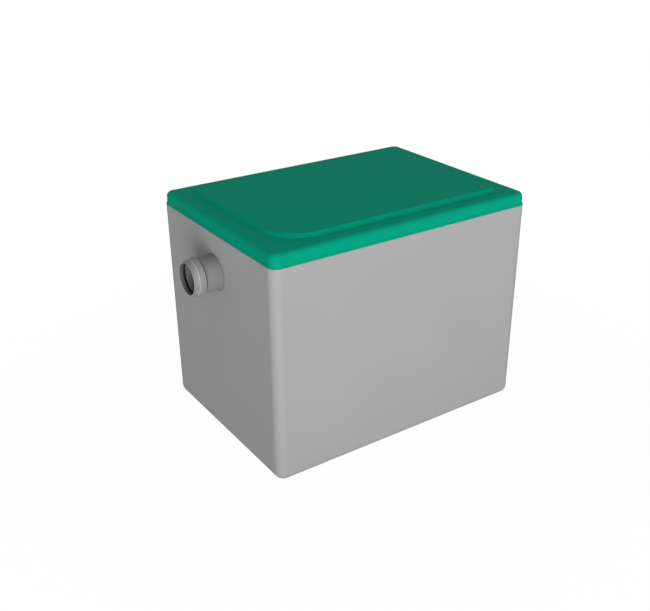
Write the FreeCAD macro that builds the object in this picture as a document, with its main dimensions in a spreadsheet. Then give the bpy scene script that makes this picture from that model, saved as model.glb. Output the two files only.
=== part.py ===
import FreeCAD, Part
import Sketcher
import math
import os
import re

# Grease trap: a moulded tank with a lift-off lid, an inlet and an outlet for 50 mm pipe.
# Millimetres. The origin is at the bottom centre of the tank, +Z up, +X from inlet to outlet.

SIZES = [
    ("tank_length", 500, "outside, along the flow"),
    ("tank_width", 360, "outside, across the flow"),
    ("tank_height", 368, "floor to rim"),
    ("tank_wall", 6, "wall thickness"),
    ("tank_floor", 7, "floor thickness"),
    ("corner_radius", 16, "upright corners"),
    ("base_radius", 14, "edge round the floor"),
    ("least_radius", 0.5, "sharpest edge of the mould"),
    ("groove_width", 3, "seal groove in the rim"),
    ("groove_depth", 2.5, "seal groove in the rim"),
    ("small_gap", 0.1, "between pieces that are pressed or glued together"),
    ("lid_height", 22, "rim to the lid's border"),
    ("lid_flange", 3, "thickness of the edge that lies on the rim"),
    ("lid_inset", 1.75, "lid side, in from the flange's edge"),
    ("lid_wall", 4, "lid thickness"),
    ("lid_edge_radius", 8.7, "top edge of the lid"),
    ("panel_end_border", 34, "lid end to the foot of the raised panel"),
    ("panel_side_border", 31, "lid side to the foot of the raised panel"),
    ("step_width", 3.2, "each of the two steps up to the panel"),
    ("step_rise", 3, "each of the two steps up to the panel"),
    ("step_tread", 1.6, "level between the two steps"),
    ("panel_large_radius", 68, "two opposite corners of the panel"),
    ("panel_small_radius", 22, "the other two corners"),
    ("skirt_play", 3, "between the lid's skirt and the tank wall"),
    ("skirt_thickness", 3, "skirt under the lid"),
    ("skirt_depth", 12, "below the rim"),
    ("rib_thickness", 3, "ribs under the lid"),
    ("rib_height", 12, "ribs under the lid"),
    ("pipe_diameter", 50, "outside of the drain pipe"),
    ("pipe_wall", 2.2, "thickness of pipes and bends"),
    ("pipe_play", 0.4, "radial, round a pipe in its socket"),
    ("inlet_below_rim", 64.5, "rim to the inlet axis"),
    ("outlet_drop", 20, "outlet axis below the inlet axis"),
    ("socket_wall", 2.9, "thickness of a socket's neck"),
    ("socket_foot", 2.5, "fillet between neck and tank"),
    ("socket_stub", 22, "neck inside the tank"),
    ("stop_depth", 2, "pipe stop behind the tank face"),
    ("neck_length", 38, "tank face to the end of the neck"),
    ("cap_cover", 7.4, "cap behind the end of the neck"),
    ("cap_rise", 3.8, "back edge of the cap above the neck"),
    ("cap_front_rise", 1.4, "front shoulder of the cap above the neck"),
    ("bead_width", 11.6, "cap's back edge to its front shoulder"),
    ("cap_front", 6.6, "seal to the mouth"),
    ("mouth_wall", 1.2, "rim of the mouth"),
    ("mouth_flare", 0.3, "mouth, wider than the bore"),
    ("seal_length", 5, "lip seal along the pipe"),
    ("nut_thickness", 8, "back nut"),
    ("nut_width", 10, "back nut, neck to a flat"),
    ("tee_distance", 75, "tank wall to the axis of the upright pipes"),
    ("bell_length", 30, "socket that holds an upright pipe"),
    ("bell_wall", 3, "thickness of the bell"),
    ("tee_below_rim", 32.5, "rim to the open top of the tees"),
    ("tee_leg", 36, "pipe axis to the top of the bell"),
    ("inlet_pipe_gap", 113, "floor to the end of the inlet's upright pipe"),
    ("outlet_pipe_gap", 68, "floor to the end of the outlet's upright pipe"),
    ("baffle_clearance", 28, "bell to baffle"),
    ("baffle_thickness", 4, "baffle plates"),
    ("baffle_gap", 58, "floor to the baffles"),
    ("baffle_below_rim", 30, "rim to the top of the baffles"),
    ("baffle_play", 0.4, "baffle in its rail"),
    ("baffle_corner", 10, "rounded corners of the plates"),
    ("grip_width", 90, "hand hole in a baffle"),
    ("grip_height", 24, "hand hole in a baffle"),
    ("grip_margin", 16, "plate above the hand hole"),
    ("slot_width", 14, "flow slots in the inlet baffle"),
    ("slot_height", 55, "flow slots in the inlet baffle"),
    ("slot_pitch", 44, "flow slots, centre to centre"),
    ("slot_margin", 22, "plate below the flow slots"),
    ("slot_count", 5, "flow slots in the inlet baffle"),
    ("rail_wall", 3, "thickness of the rails"),
    ("rail_depth", 14, "rails, out from the wall"),
    ("rail_below_rim", 42, "rim to the top of the rails"),
]

RIB_COUNT = 3
STEP_COUNT = 2
INLET = "inlet"
OUTLET = "outlet"

CELLS = {alias: "Sizes." + alias for alias, number, note in SIZES}
TANK_FACE = "( - tank_length / 2 )"
INNER_FACE = "( - tank_length / 2 + tank_wall )"
INNER_WIDTH = "( tank_width / 2 - tank_wall )"
INNER_LENGTH = "( tank_length / 2 - tank_wall )"
LID_TOP = "( tank_height + lid_height )"
PANEL_RISE = "( %d * step_rise )" % STEP_COUNT
PANEL_SLOPE = "( %d * step_width + %d * step_tread )" % (STEP_COUNT, STEP_COUNT - 1)
RIB_BOTTOM = "( tank_height + lid_height - lid_wall - rib_height )"
BORE_RADIUS = "( pipe_diameter / 2 + pipe_play )"
NECK_RADIUS = "( pipe_diameter / 2 + pipe_play + socket_wall )"
PIPE_RADIUS = "( pipe_diameter / 2 )"
PIPE_BORE = "( pipe_diameter / 2 - pipe_wall )"
BELL_BORE = "( pipe_diameter / 2 + small_gap )"
BELL_RADIUS = "( pipe_diameter / 2 + small_gap + bell_wall )"
TEE_AXIS = "( - tank_length / 2 + tank_wall + tee_distance )"
BELL_REACH = "( pipe_diameter / 2 + bell_wall + baffle_clearance )"
BAFFLE_AXIS = "( tank_length / 2 - tank_wall - tee_distance - %s )" % BELL_REACH
BAFFLE_BOTTOM = "( tank_floor + baffle_gap )"
BAFFLE_TOP = "( tank_height - baffle_below_rim )"
AXIS_HEIGHT = {
    INLET: "( tank_height - inlet_below_rim )",
    OUTLET: "( tank_height - inlet_below_rim - outlet_drop )",
}
TEE_HEAD = {
    INLET: "( inlet_below_rim - tee_below_rim )",
    OUTLET: "( inlet_below_rim + outlet_drop - tee_below_rim )",
}
PIPE_BOTTOM = {
    INLET: "( tank_floor + inlet_pipe_gap )",
    OUTLET: "( tank_floor + outlet_pipe_gap )",
}

doc = FreeCAD.newDocument("grease_trap")
sheet = doc.addObject("Spreadsheet::Sheet", "Sizes")
for row, (alias, number, note) in enumerate(SIZES, start=1):
    sheet.set("A%d" % row, alias)
    sheet.set("B%d" % row, str(number))
    sheet.set("C%d" % row, note)
    sheet.setAlias("B%d" % row, alias)
doc.recompute()


def named(expression):
    """The expression with each size written as a cell of the sheet."""
    return re.sub(r"[a-z_]+", lambda word: CELLS.get(word.group(), word.group()), expression)


def value(expression):
    return float(sheet.evalExpression(named(expression)))


def new_body(name):
    body = doc.addObject("PartDesign::Body", name)
    body.Label = name
    return body


def place(body, x="0", y="0", z="0", turn=0):
    """Turns the body about Z and puts its origin at the point that the expressions give."""
    body.Placement = FreeCAD.Placement(
        FreeCAD.Vector(value(x), value(y), value(z)), FreeCAD.Rotation(FreeCAD.Vector(0, 0, 1), turn)
    )
    for axis, expression in (("x", x), ("y", y), ("z", z)):
        if expression != "0":
            body.setExpression("Placement.Base." + axis, named(expression))


def new_sketch(body, name, plane, level="0", shift="0"):
    """A sketch on one of the body's own planes, lifted along its normal and moved along its first axis."""
    sketch = body.newObject("Sketcher::SketchObject", name)
    for feature in body.Origin.OriginFeatures:
        if feature.Role == plane:
            sketch.AttachmentSupport = [(feature, "")]
    sketch.MapMode = "FlatFace"
    sketch.AttachmentOffset.Base = FreeCAD.Vector(value(shift), 0, value(level))
    if level != "0":
        sketch.setExpression("AttachmentOffset.Base.z", named(level))
    if shift != "0":
        sketch.setExpression("AttachmentOffset.Base.x", named(shift))
    return sketch


def hold(sketch, kind, first, first_point, second, second_point, expression):
    """A distance that follows the sheet."""
    index = sketch.addConstraint(
        Sketcher.Constraint(kind, first, first_point, second, second_point, value(expression))
    )
    sketch.setExpression("Constraints[%d]" % index, named(expression))


def hold_radius(sketch, curve, expression):
    index = sketch.addConstraint(Sketcher.Constraint("Radius", curve, value(expression)))
    sketch.setExpression("Constraints[%d]" % index, named(expression))


def polygon(sketch, points):
    """A closed outline through points given as pairs of expressions."""
    first = sketch.GeometryCount
    count = len(points)
    corners = [FreeCAD.Vector(value(x), value(y), 0) for x, y in points]
    for i in range(count):
        sketch.addGeometry(Part.LineSegment(corners[i], corners[(i + 1) % count]))
    for i in range(count):
        sketch.addConstraint(Sketcher.Constraint("Coincident", first + i, 2, first + (i + 1) % count, 1))
    for i, (x, y) in enumerate(points):
        hold(sketch, "DistanceX", -1, 1, first + i, 1, x)
        hold(sketch, "DistanceY", -1, 1, first + i, 1, y)


def rounded(sketch, half_x, half_y, radii, centre_y="0"):
    """A rectangle with one radius for each corner, from the front left corner on, anticlockwise."""
    first = sketch.GeometryCount
    across = value(half_x)
    along = value(half_y)
    middle = value(centre_y)
    signs = [(-1, -1), (1, -1), (1, 1), (-1, 1)]
    upright = FreeCAD.Vector(0, 0, 1)
    arcs = []
    for i, (side_x, side_y) in enumerate(signs):
        radius = value(radii[i])
        centre = FreeCAD.Vector(side_x * (across - radius), middle + side_y * (along - radius), 0)
        start = math.radians(180 + 90 * i)
        arcs.append(Part.ArcOfCircle(Part.Circle(centre, upright, radius), start, start + math.pi / 2))
    for arc in arcs:
        sketch.addGeometry(arc)
    for i in range(4):
        sketch.addGeometry(Part.LineSegment(arcs[i].EndPoint, arcs[(i + 1) % 4].StartPoint))
    for i in range(4):
        sketch.addConstraint(Sketcher.Constraint("Tangent", first + i, 2, first + 4 + i, 1))
        sketch.addConstraint(Sketcher.Constraint("Tangent", first + 4 + i, 2, first + (i + 1) % 4, 1))
        direction = "Horizontal" if i % 2 == 0 else "Vertical"
        sketch.addConstraint(Sketcher.Constraint(direction, first + 4 + i))
        hold_radius(sketch, first + i, radii[i])
    hold(sketch, "DistanceY", -1, 1, first + 4, 1, "%s - %s" % (centre_y, half_y))
    hold(sketch, "DistanceX", -1, 1, first + 5, 1, half_x)
    hold(sketch, "DistanceY", -1, 1, first + 6, 1, "%s + %s" % (centre_y, half_y))
    hold(sketch, "DistanceX", -1, 1, first + 7, 1, "- %s" % half_x)


def circle(sketch, radius, centre_y="0"):
    """A circle on the sketch's second axis."""
    centre = FreeCAD.Vector(0, value(centre_y), 0)
    index = sketch.addGeometry(Part.Circle(centre, FreeCAD.Vector(0, 0, 1), value(radius)))
    if centre_y == "0":
        sketch.addConstraint(Sketcher.Constraint("Coincident", index, 3, -1, 1))
    else:
        sketch.addConstraint(Sketcher.Constraint("PointOnObject", index, 3, -2))
        hold(sketch, "DistanceY", -1, 1, index, 3, centre_y)
    hold_radius(sketch, index, radius)


def pad(body, name, sketch, length):
    feature = body.newObject("PartDesign::Pad", name)
    feature.Profile = sketch
    feature.setExpression("Length", named(length))
    doc.recompute()
    return feature


def pocket(body, name, sketch, length, forward):
    """Cuts along the sketch's normal if forward, else against it, and must take material away."""
    before = body.Shape.Volume
    feature = body.newObject("PartDesign::Pocket", name)
    feature.Profile = sketch
    feature.Reversed = forward
    feature.setExpression("Length", named(length))
    doc.recompute()
    if not feature.Shape.Volume < before - 1:
        raise ValueError("%s cuts nothing" % name)
    return feature


def revolve(body, name, sketch, axis):
    feature = body.newObject("PartDesign::Revolution", name)
    feature.Profile = sketch
    feature.ReferenceAxis = (sketch, [axis])
    feature.Angle = 360
    doc.recompute()
    return feature


def fillet(body, name, feature, wanted, radius):
    """Rounds the edges of the feature for which wanted(edge) is true."""
    edges = [
        "Edge%d" % number for number, edge in enumerate(feature.Shape.Edges, start=1) if wanted(edge)
    ]
    rounding = body.newObject("PartDesign::Fillet", name)
    rounding.Base = (feature, edges)
    rounding.setExpression("Radius", named(radius))
    doc.recompute()
    return rounding


def chamfer(body, name, feature, wanted, size):
    """Bevels the edges of the feature for which wanted(edge) is true."""
    edges = [
        "Edge%d" % number for number, edge in enumerate(feature.Shape.Edges, start=1) if wanted(edge)
    ]
    bevel = body.newObject("PartDesign::Chamfer", name)
    bevel.Base = (feature, edges)
    bevel.setExpression("Size", named(size))
    doc.recompute()
    return bevel


def at_level(height):
    """Says whether an edge lies flat at this height."""
    def wanted(edge):
        return all(abs(point.z - height) < 0.01 for point in edge.discretize(5))
    return wanted


def tank_shell():
    """The tank: one moulding, open at the top, with a seal groove in its rim and two pipe holes."""
    body = new_body("tank_shell")
    corners = ["corner_radius"] * 4
    inner_corners = ["max( corner_radius - tank_wall ; 2 * least_radius )"] * 4
    outline = new_sketch(body, "tank_outline", "XY_Plane")
    rounded(outline, "( tank_length / 2 )", "( tank_width / 2 )", corners)
    block = pad(body, "tank_block", outline, "tank_height")
    base_edge = "min( base_radius ; corner_radius - least_radius )"
    fillet(body, "tank_base_edge", block, at_level(0), base_edge)
    cavity = new_sketch(body, "tank_cavity_outline", "XY_Plane", "tank_floor")
    rounded(cavity, INNER_LENGTH, INNER_WIDTH, inner_corners)
    hollow = pocket(body, "tank_cavity", cavity, "tank_height", True)
    inner_radius = "max( %s - tank_wall ; least_radius )" % base_edge
    fillet(body, "tank_floor_edge", hollow, at_level(value("tank_floor")), inner_radius)
    groove = new_sketch(body, "rim_groove_outline", "XY_Plane", "tank_height")
    rim_ring(groove, "0")
    pocket(body, "rim_groove", groove, "groove_depth", False)
    for side, height in AXIS_HEIGHT.items():
        hole = new_sketch(body, side + "_hole_outline", "YZ_Plane")
        circle(hole, NECK_RADIUS + " + small_gap", height)
        pocket(body, side + "_hole", hole, "tank_length", side == OUTLET)


def rim_ring(sketch, play):
    """The two outlines of the seal groove along the middle of the rim, each moved in by the play."""
    outer = "( ( tank_wall - groove_width ) / 2 + %s )" % play
    inner = "( ( tank_wall + groove_width ) / 2 - %s )" % play
    for depth in (outer, inner):
        rounded(
            sketch,
            "( tank_length / 2 - %s )" % depth,
            "( tank_width / 2 - %s )" % depth,
            ["max( corner_radius - %s ; least_radius )" % depth] * 4,
        )


def rim_gasket():
    """The rubber seal in the rim's groove."""
    body = new_body("rim_gasket")
    ring = new_sketch(body, "gasket_outline", "XY_Plane", "tank_height - groove_depth")
    rim_ring(ring, "small_gap")
    pad(body, "gasket_ring", ring, "groove_depth")


def lid():
    """The lid: a hollow moulding with a flange, a rounded edge, a raised panel, a skirt and ribs."""
    body = new_body("lid")
    flange = new_sketch(body, "flange_outline", "XY_Plane", "tank_height")
    rounded(flange, "( tank_length / 2 )", "( tank_width / 2 )", ["corner_radius"] * 4)
    pad(body, "lid_flange_plate", flange, "lid_flange")
    side_corner = "( corner_radius - lid_inset )"
    side = new_sketch(body, "lid_side_outline", "XY_Plane", "tank_height")
    rounded(
        side, "( tank_length / 2 - lid_inset )", "( tank_width / 2 - lid_inset )", [side_corner] * 4
    )
    block = pad(body, "lid_block", side, "lid_height")
    edge_radius = "min( lid_edge_radius ; lid_height / 2 )"
    fillet(body, "lid_top_edge", block, at_level(value(LID_TOP)), edge_radius)
    raised_panel(body)
    depth = "( lid_inset + lid_wall )"
    cavity = new_sketch(body, "lid_cavity_outline", "XY_Plane", "tank_height")
    rounded(
        cavity,
        "( tank_length / 2 - %s )" % depth,
        "( tank_width / 2 - %s )" % depth,
        ["max( corner_radius - %s ; least_radius )" % depth] * 4,
    )
    hollow = pocket(body, "lid_cavity", cavity, "lid_height - lid_wall", True)
    chamfer(body, "lid_cavity_edge", hollow, at_level(value(LID_TOP + " - lid_wall")), "lid_wall / 2")
    panel_hollow(body)
    skirt_ring(body)
    lid_ribs(body)


def panel_outline(sketch, inset):
    """The panel's outline: two opposite corners large, two small."""
    large = "max( panel_large_radius - %s ; least_radius )" % inset
    small = "max( panel_small_radius - %s ; least_radius )" % inset
    rounded(
        sketch,
        "( tank_length / 2 - panel_end_border - %s )" % inset,
        "( tank_width / 2 - panel_side_border - %s )" % inset,
        [large, small, large, small],
    )


def raised_panel(body):
    """Two sloping steps with a narrow level between them, up from the lid's border to the panel."""
    for i in range(STEP_COUNT):
        inset = "( %d * ( step_width + step_tread ) )" % i
        foot = new_sketch(body, "step_%d_foot" % (i + 1), "XY_Plane", "%s + %d * step_rise" % (LID_TOP, i))
        panel_outline(foot, inset)
        top = "%s + %d * step_rise" % (LID_TOP, i + 1)
        head = new_sketch(body, "step_%d_head" % (i + 1), "XY_Plane", top)
        panel_outline(head, "( %s + step_width )" % inset)
        step = body.newObject("PartDesign::AdditiveLoft", "step_%d" % (i + 1))
        step.Profile = foot
        step.Sections = [head]
        doc.recompute()


def panel_hollow(body):
    """The hollow under the raised panel."""
    sketch = new_sketch(body, "panel_hollow_outline", "XY_Plane", LID_TOP + " - 2 * lid_wall")
    panel_outline(sketch, "( %s + lid_wall )" % PANEL_SLOPE)
    pocket(body, "panel_hollow", sketch, PANEL_RISE + " + lid_wall", True)


def skirt_ring(body):
    """The skirt that keeps the lid in the tank's mouth."""
    sketch = new_sketch(body, "skirt_outline", "XY_Plane", "tank_height - skirt_depth")
    for depth in ("( tank_wall + skirt_play )", "( tank_wall + skirt_play + skirt_thickness )"):
        rounded(
            sketch,
            "( tank_length / 2 - %s )" % depth,
            "( tank_width / 2 - %s )" % depth,
            ["max( corner_radius - %s ; least_radius )" % depth] * 4,
        )
    pad(body, "skirt", sketch, "skirt_depth + lid_height - lid_wall / 2")


def lid_ribs(body):
    """Ribs across the lid: low ones from skirt to skirt, and the same up into the panel's hollow."""
    half = "rib_thickness / 2"
    reaches = (
        ("rib", "( tank_width / 2 - tank_wall - skirt_play - skirt_thickness / 2 )", "0"),
        ("panel_rib", "( tank_width / 2 - panel_side_border - %s - lid_wall / 2 )" % PANEL_SLOPE, PANEL_RISE),
    )
    for name, half_y, rise in reaches:
        for i in range(RIB_COUNT):
            middle = "( tank_length * %s )" % ((i + 1) / (RIB_COUNT + 1) - 0.5)
            sketch = new_sketch(body, "%s_%d_outline" % (name, i + 1), "XY_Plane", RIB_BOTTOM)
            polygon(sketch, box_points(middle + " - " + half, middle + " + " + half, "- " + half_y, half_y))
            pad(body, "%s_%d" % (name, i + 1), sketch, "rib_height + lid_wall / 2 + " + rise)


def box_points(low_x, high_x, low_y, high_y):
    return [(low_x, low_y), (high_x, low_y), (high_x, high_y), (low_x, high_y)]


def out(distance):
    """The X of a point this far out from the tank's inlet face."""
    return "%s - ( %s )" % (TANK_FACE, distance)


def pipe_fitting(side, piece):
    """A body about a pipe axis. The outlet's is the inlet's turned round, at its own height."""
    body = new_body("%s_%s" % (side, piece))
    place(body, z=AXIS_HEIGHT[side], turn=0 if side == INLET else 180)
    return body


def socket(side):
    """The socket through the wall: neck, foot against the wall, and a stub with the pipe stop."""
    body = pipe_fitting(side, "socket")
    sketch = new_sketch(body, side + "_socket_profile", "XZ_Plane")
    stub_end = out("- tank_wall - socket_stub")
    polygon(sketch, [
        (stub_end, BELL_BORE),
        (stub_end, NECK_RADIUS),
        (out("0"), NECK_RADIUS),
        (out("0"), NECK_RADIUS + " + socket_foot"),
        (out("socket_foot"), NECK_RADIUS),
        (out("neck_length"), NECK_RADIUS),
        (out("neck_length"), BORE_RADIUS),
        (out("- stop_depth"), BORE_RADIUS),
        (out("- stop_depth"), BELL_BORE),
    ])
    revolve(body, side + "_socket_ring", sketch, "H_Axis")


def socket_cap(side):
    """The cap that holds the lip seal on the end of the neck: a bead, a cone and the mouth."""
    body = pipe_fitting(side, "socket_cap")
    sketch = new_sketch(body, side + "_cap_profile", "XZ_Plane")
    back = "neck_length - cap_cover"
    shoulder = "neck_length - cap_cover + bead_width"
    seal_end = "neck_length + seal_length"
    mouth = "neck_length + seal_length + cap_front"
    polygon(sketch, [
        (out(back), NECK_RADIUS + " + small_gap"),
        (out(back), NECK_RADIUS + " + cap_rise"),
        (out(shoulder), NECK_RADIUS + " + cap_front_rise"),
        (out(mouth), BORE_RADIUS + " + mouth_flare + mouth_wall"),
        (out(mouth), BORE_RADIUS + " + mouth_flare"),
        (out(seal_end), BORE_RADIUS + " + mouth_flare"),
        (out(seal_end), NECK_RADIUS + " + small_gap"),
    ])
    revolve(body, side + "_cap_ring", sketch, "H_Axis")


def lip_seal(side):
    """The rubber ring that grips the pipe."""
    body = pipe_fitting(side, "lip_seal")
    sketch = new_sketch(body, side + "_seal_profile", "XZ_Plane")
    polygon(sketch, [
        (out("neck_length"), NECK_RADIUS),
        (out("neck_length + seal_length"), NECK_RADIUS),
        (out("neck_length + seal_length"), BORE_RADIUS + " + small_gap"),
    ])
    revolve(body, side + "_seal_ring", sketch, "H_Axis")


def back_nut(side):
    """The six-sided nut that clamps the socket to the wall from inside."""
    body = pipe_fitting(side, "back_nut")
    sketch = new_sketch(body, side + "_nut_outline", "YZ_Plane", INNER_FACE)
    flat = "( %s + nut_width )" % NECK_RADIUS
    half_side = flat + " / sqrt(3)"
    polygon(sketch, [
        ("- 2 * " + half_side, "0"),
        ("- " + half_side, "- " + flat),
        (half_side, "- " + flat),
        ("2 * " + half_side, "0"),
        (half_side, flat),
        ("- " + half_side, flat),
    ])
    circle(sketch, NECK_RADIUS + " + small_gap")
    pad(body, side + "_nut_block", sketch, "nut_thickness")


def tee(side):
    """The tee behind the wall: a branch into the socket, an open head for rodding and a bell below."""
    body = pipe_fitting(side, "tee")
    spigot_end = out("- stop_depth")
    branch_length = "%s - ( %s )" % (TEE_AXIS, spigot_end)
    run_length = "tee_leg + " + TEE_HEAD[side]
    run = new_sketch(body, side + "_run_outline", "XY_Plane", "- tee_leg", TEE_AXIS)
    circle(run, PIPE_RADIUS)
    pad(body, side + "_run", run, run_length)
    branch = new_sketch(body, side + "_branch_outline", "YZ_Plane", spigot_end)
    circle(branch, PIPE_RADIUS)
    pad(body, side + "_branch", branch, branch_length)
    bell = new_sketch(body, side + "_bell_outline", "XY_Plane", "- tee_leg - bell_length", TEE_AXIS)
    circle(bell, BELL_RADIUS)
    pad(body, side + "_bell", bell, "bell_length + bell_wall")
    run_bore = new_sketch(body, side + "_run_bore_outline", "XY_Plane", "- tee_leg", TEE_AXIS)
    circle(run_bore, PIPE_BORE)
    pocket(body, side + "_run_bore", run_bore, run_length, True)
    bell_bore = new_sketch(body, side + "_bell_bore_outline", "XY_Plane", "- tee_leg", TEE_AXIS)
    circle(bell_bore, BELL_BORE)
    pocket(body, side + "_bell_bore", bell_bore, "bell_length", False)
    branch_bore = new_sketch(body, side + "_branch_bore_outline", "YZ_Plane", spigot_end)
    circle(branch_bore, PIPE_BORE)
    pocket(body, side + "_branch_bore", branch_bore, branch_length, True)


def upright_pipe(side):
    """The pipe that hangs in the tee's bell and ends above the floor."""
    body = new_body(side + "_upright_pipe")
    place(
        body,
        x=TEE_AXIS if side == INLET else "- " + TEE_AXIS,
        z=PIPE_BOTTOM[side],
        turn=0 if side == INLET else 180,
    )
    sketch = new_sketch(body, side + "_pipe_outline", "XY_Plane")
    circle(sketch, PIPE_RADIUS)
    circle(sketch, PIPE_BORE)
    pad(body, side + "_pipe_tube", sketch, "%s - tee_leg - %s" % (AXIS_HEIGHT[side], PIPE_BOTTOM[side]))


def baffle_rails(side):
    """Two rails on the long walls, each with a foot that carries the baffle."""
    sign = "- " if side == INLET else ""
    slot = "( baffle_thickness / 2 + baffle_play )"
    half = "( baffle_thickness / 2 + baffle_play + rail_wall )"
    for wall, y, turn in (("front", "- " + INNER_WIDTH, 0), ("back", INNER_WIDTH, 180)):
        body = new_body("%s_baffle_rail_%s" % (side, wall))
        place(body, x=sign + BAFFLE_AXIS, y=y, z=BAFFLE_BOTTOM, turn=turn)
        name = "%s_%s_rail" % (side, wall)
        channel = new_sketch(body, name + "_outline", "XY_Plane")
        polygon(channel, [
            ("- " + half, "0"),
            (half, "0"),
            (half, "rail_depth"),
            (slot, "rail_depth"),
            (slot, "rail_wall"),
            ("- " + slot, "rail_wall"),
            ("- " + slot, "rail_depth"),
            ("- " + half, "rail_depth"),
        ])
        pad(body, name + "_channel", channel, "tank_height - rail_below_rim - " + BAFFLE_BOTTOM)
        foot = new_sketch(body, name + "_foot_outline", "XY_Plane", "- rail_wall")
        polygon(foot, box_points("- " + half, half, "0", "rail_depth"))
        pad(body, name + "_foot", foot, "rail_wall")


def baffle(side):
    """A plate that slides into two rails, with a hand hole. The inlet's has flow slots too."""
    body = new_body(side + "_baffle")
    sign = "- " if side == INLET else ""
    place(body, x=sign + BAFFLE_AXIS)
    half_width = "( %s - rail_wall - baffle_play )" % INNER_WIDTH
    face = "- baffle_thickness / 2"
    middle = "( ( %s + %s ) / 2 )" % (BAFFLE_TOP, BAFFLE_BOTTOM)
    half_height = "( ( %s - %s ) / 2 )" % (BAFFLE_TOP, BAFFLE_BOTTOM)
    outline = new_sketch(body, side + "_baffle_outline", "YZ_Plane", face)
    rounded(outline, half_width, half_height, ["baffle_corner"] * 4, middle)
    pad(body, side + "_baffle_plate", outline, "baffle_thickness")
    grip = new_sketch(body, side + "_grip_outline", "YZ_Plane", face)
    grip_middle = "( %s - grip_margin - grip_height / 2 )" % BAFFLE_TOP
    end = "grip_height / 2 - small_gap / 10"
    rounded(grip, "( grip_width / 2 )", "( grip_height / 2 )", [end] * 4, grip_middle)
    pocket(body, side + "_grip", grip, "baffle_thickness", True)
    if side == INLET:
        flow_slots(body, face)


def flow_slots(body, face):
    """A row of upright slots along the foot of the plate."""
    slot = new_sketch(body, "slot_outline", "YZ_Plane", face, "- slot_pitch * ( slot_count - 1 ) / 2")
    middle = "( %s + slot_margin + slot_height / 2 )" % BAFFLE_BOTTOM
    end = "slot_width / 2 - small_gap / 10"
    rounded(slot, "( slot_width / 2 )", "( slot_height / 2 )", [end] * 4, middle)
    cut = pocket(body, "slot", slot, "baffle_thickness", True)
    row = body.newObject("PartDesign::LinearPattern", "slots")
    row.Originals = [cut]
    row.Direction = (slot, ["H_Axis"])
    row.setExpression("Length", named("slot_pitch * ( slot_count - 1 )"))
    row.setExpression("Occurrences", named("slot_count"))
    body.Tip = row
    doc.recompute()


tank_shell()
rim_gasket()
lid()
for end in (INLET, OUTLET):
    socket(end)
    socket_cap(end)
    lip_seal(end)
    back_nut(end)
    tee(end)
    upright_pipe(end)
    baffle_rails(end)
    baffle(end)
doc.recompute()

for item in doc.Objects:
    if "Invalid" in item.State or "Error" in item.State:
        raise ValueError("%s failed: %s" % (item.Name, item.State))
os.makedirs("parts", exist_ok=True)
for item in doc.Objects:
    if item.TypeId == "PartDesign::Body":
        shape = item.Shape
        if shape.isNull() or not shape.isValid() or len(shape.Solids) != 1:
            raise ValueError("%s has no single valid solid" % item.Label)
        print("%-28s %10.0f mm3  %s" % (item.Label, shape.Volume, shape.BoundBox))
for item in doc.Objects:
    if item.TypeId == "PartDesign::Body":
        item.Shape.exportStep("parts/%s.step" % item.Label)
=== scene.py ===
"""Grease trap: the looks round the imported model. Metres, +Z up, +X from the inlet to the outlet.

Laid out as an add-on and run as a script.
"""
import math

import bmesh
import bpy
from mathutils import Matrix, Vector


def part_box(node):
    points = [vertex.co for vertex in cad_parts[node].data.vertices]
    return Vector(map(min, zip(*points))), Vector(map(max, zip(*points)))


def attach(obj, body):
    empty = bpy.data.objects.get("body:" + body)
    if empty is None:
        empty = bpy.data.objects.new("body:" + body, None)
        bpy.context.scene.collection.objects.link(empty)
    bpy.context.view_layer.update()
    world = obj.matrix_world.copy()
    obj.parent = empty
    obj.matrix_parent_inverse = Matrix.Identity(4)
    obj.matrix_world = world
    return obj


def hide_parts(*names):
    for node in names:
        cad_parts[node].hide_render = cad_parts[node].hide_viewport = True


bl_info = {
    "name": "Grease trap",
    "version": (1, 0, 0),
    "blender": (4, 5, 0),
    "location": "View3D > Sidebar > Trap",
    "description": "Builds a plastic grease trap round its packed model",
    "category": "Object",
}

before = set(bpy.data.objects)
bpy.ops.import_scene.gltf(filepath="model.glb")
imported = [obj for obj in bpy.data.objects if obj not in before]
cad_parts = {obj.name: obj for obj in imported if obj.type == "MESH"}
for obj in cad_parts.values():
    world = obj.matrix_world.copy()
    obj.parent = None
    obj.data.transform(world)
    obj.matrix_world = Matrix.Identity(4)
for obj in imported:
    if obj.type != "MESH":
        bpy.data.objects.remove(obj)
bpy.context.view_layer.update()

MM = 0.001
HALF_LENGTH, HALF_WIDTH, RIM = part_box("tank_shell")[1]
END_SIGN = {"inlet": -1, "outlet": 1}

# Steps of the upright corners, of each quarter round in section, and of anything turned
CORNER_STEPS = 16
FILLET_STEPS = 8
TURN_STEPS = 96

# Play between two pieces, and the margin when faces are chosen to be painted
PLAY = 0.1 * MM
MARGIN = 0.1 * MM

# Points nearer than this are one: as drawn, and after the edges are rounded
DOUBLED = MM / 1000
COLLAPSED = MM / 500

# Least corner radius of an outline, and how far it is lifted while it is joined to another
LEAST_RADIUS = MM / 2
LIFT = Vector((0, 0, 100 * MM))

# Edges sharper than this angle are rounded
SHARP = math.radians(32)
EDGE = 0.4 * MM
EDGE_SEGMENTS = 2
NUT_EDGE = MM

# Each point of one turn of the thread: its share of the pitch, and whether it is on the crest
THREAD = ((0.3, False), (0.55, True), (0.75, True), (1, False))
# How strongly the first and second wave bend the straight slope up to the panel
STEP_WAVES = (0.4, 0.3)
# Level where the flange's soft top starts, as a share of its thickness
FLANGE_START = 0.6
# Share of the socket's foot that gets painted shade
FOOT_SHARE = 0.98

WHITE = (1, 1, 1, 1)
SENSOR = 36


def length(name, description, millimetres):
    return bpy.props.FloatProperty(
        name=name, description=description, default=millimetres * MM, min=0, precision=5,
        subtype="DISTANCE", unit="LENGTH",
    )


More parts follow.
